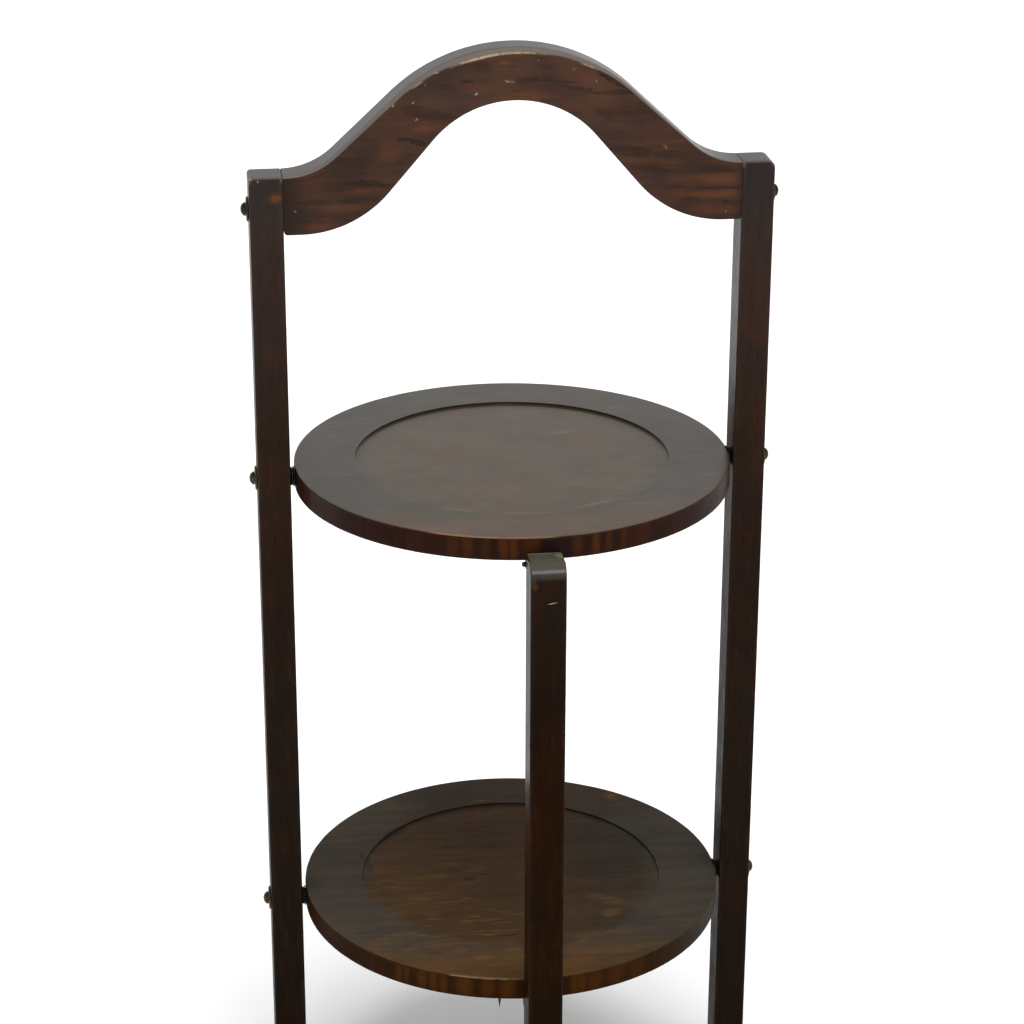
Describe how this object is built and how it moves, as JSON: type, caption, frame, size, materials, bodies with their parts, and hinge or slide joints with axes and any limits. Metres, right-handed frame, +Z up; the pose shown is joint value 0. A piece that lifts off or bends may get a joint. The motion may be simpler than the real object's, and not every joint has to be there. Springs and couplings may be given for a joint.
{
  "type": "folding cake stand",
  "caption": "Folding two-tier cake stand in dark stained oak: round plates pivot between two uprights joined by an arched handle, and a hinged front leg folds with them.",
  "frame": {"origin": "middle of the footprint at floor level: the bottom centre of the bounding box", "axes": "+Z up, +X to the right and +Y to the back, seen from the side of the front leg"},
  "size_m": [0.3012, 0.2688, 0.6545],
  "materials": {
    "post_oak": "very dark stained oak, satin, slightly worn on the arrises",
    "rail_oak": "dark red-brown stained oak, satin, worn to the bare wood along the upper front edge",
    "upper_plate_oak": "dark stained oak, satin to semi-gloss",
    "lower_plate_oak": "dark stained oak with short golden flecks, satin",
    "aged_brass": "tarnished brass",
    "dark_iron": "blackened iron"
  },
  "bodies": {
    "frame": {"left_upright": "post_oak", "right_upright": "post_oak", "handle_rail": "rail_oak", "handle_screw_left": "aged_brass", "handle_screw_right": "aged_brass", "handle_washer_left": "aged_brass", "handle_washer_right": "aged_brass", "upper_outer_washer_left": "aged_brass", "upper_outer_washer_right": "aged_brass", "lower_outer_washer_left": "aged_brass", "lower_outer_washer_right": "aged_brass", "upper_spacer_left": "dark_iron", "upper_spacer_right": "dark_iron", "lower_spacer_left": "dark_iron", "lower_spacer_right": "dark_iron"},
    "upper_plate": {"upper_plate": "upper_plate_oak", "upper_pivot_screw_left": "aged_brass", "upper_pivot_screw_right": "aged_brass", "upper_inner_washer_left": "dark_iron", "upper_inner_washer_right": "dark_iron", "upper_hinge_plate_leaf": "dark_iron", "upper_hinge_pin": "dark_iron", "upper_plate_leaf_screw_left": "dark_iron", "upper_plate_leaf_screw_right": "dark_iron"},
    "lower_plate": {"lower_plate": "lower_plate_oak", "lower_pivot_screw_left": "aged_brass", "lower_pivot_screw_right": "aged_brass", "lower_inner_washer_left": "dark_iron", "lower_inner_washer_right": "dark_iron", "lower_hinge_plate_leaf": "dark_iron", "lower_hinge_pin": "dark_iron", "lower_plate_leaf_screw_left": "dark_iron", "lower_plate_leaf_screw_right": "dark_iron", "lower_plate_tack": "dark_iron"},
    "front_leg": {"front_leg": "post_oak", "upper_hinge_leg_leaf": "dark_iron", "lower_hinge_leg_leaf": "dark_iron", "upper_leg_leaf_screw_left": "dark_iron", "upper_leg_leaf_screw_right": "dark_iron", "lower_leg_leaf_screw_left": "dark_iron", "lower_leg_leaf_screw_right": "dark_iron"}
  },
  "joints": [
    {"name": "upper_plate_fold", "type": "hinge", "parent": "frame", "child": "upper_plate", "pos_m": [0, 0.0094, 0.409], "axis": [-1, 0, 0], "range_deg": [0, 90]},
    {"name": "lower_plate_fold", "type": "hinge", "parent": "frame", "child": "lower_plate", "pos_m": [0, 0.0094, 0.137], "axis": [-1, 0, 0], "range_deg": [0, 90]},
    {"name": "front_leg_fold", "type": "hinge", "parent": "upper_plate", "child": "front_leg", "pos_m": [0, -0.1128, 0.3994], "axis": [1, 0, 0], "range_deg": [0, 90]}
  ],
  "couplings": [
    {"joint": "lower_plate_fold", "follows": "upper_plate_fold", "ratio": 1},
    {"joint": "front_leg_fold", "follows": "upper_plate_fold", "ratio": 1}
  ]
}
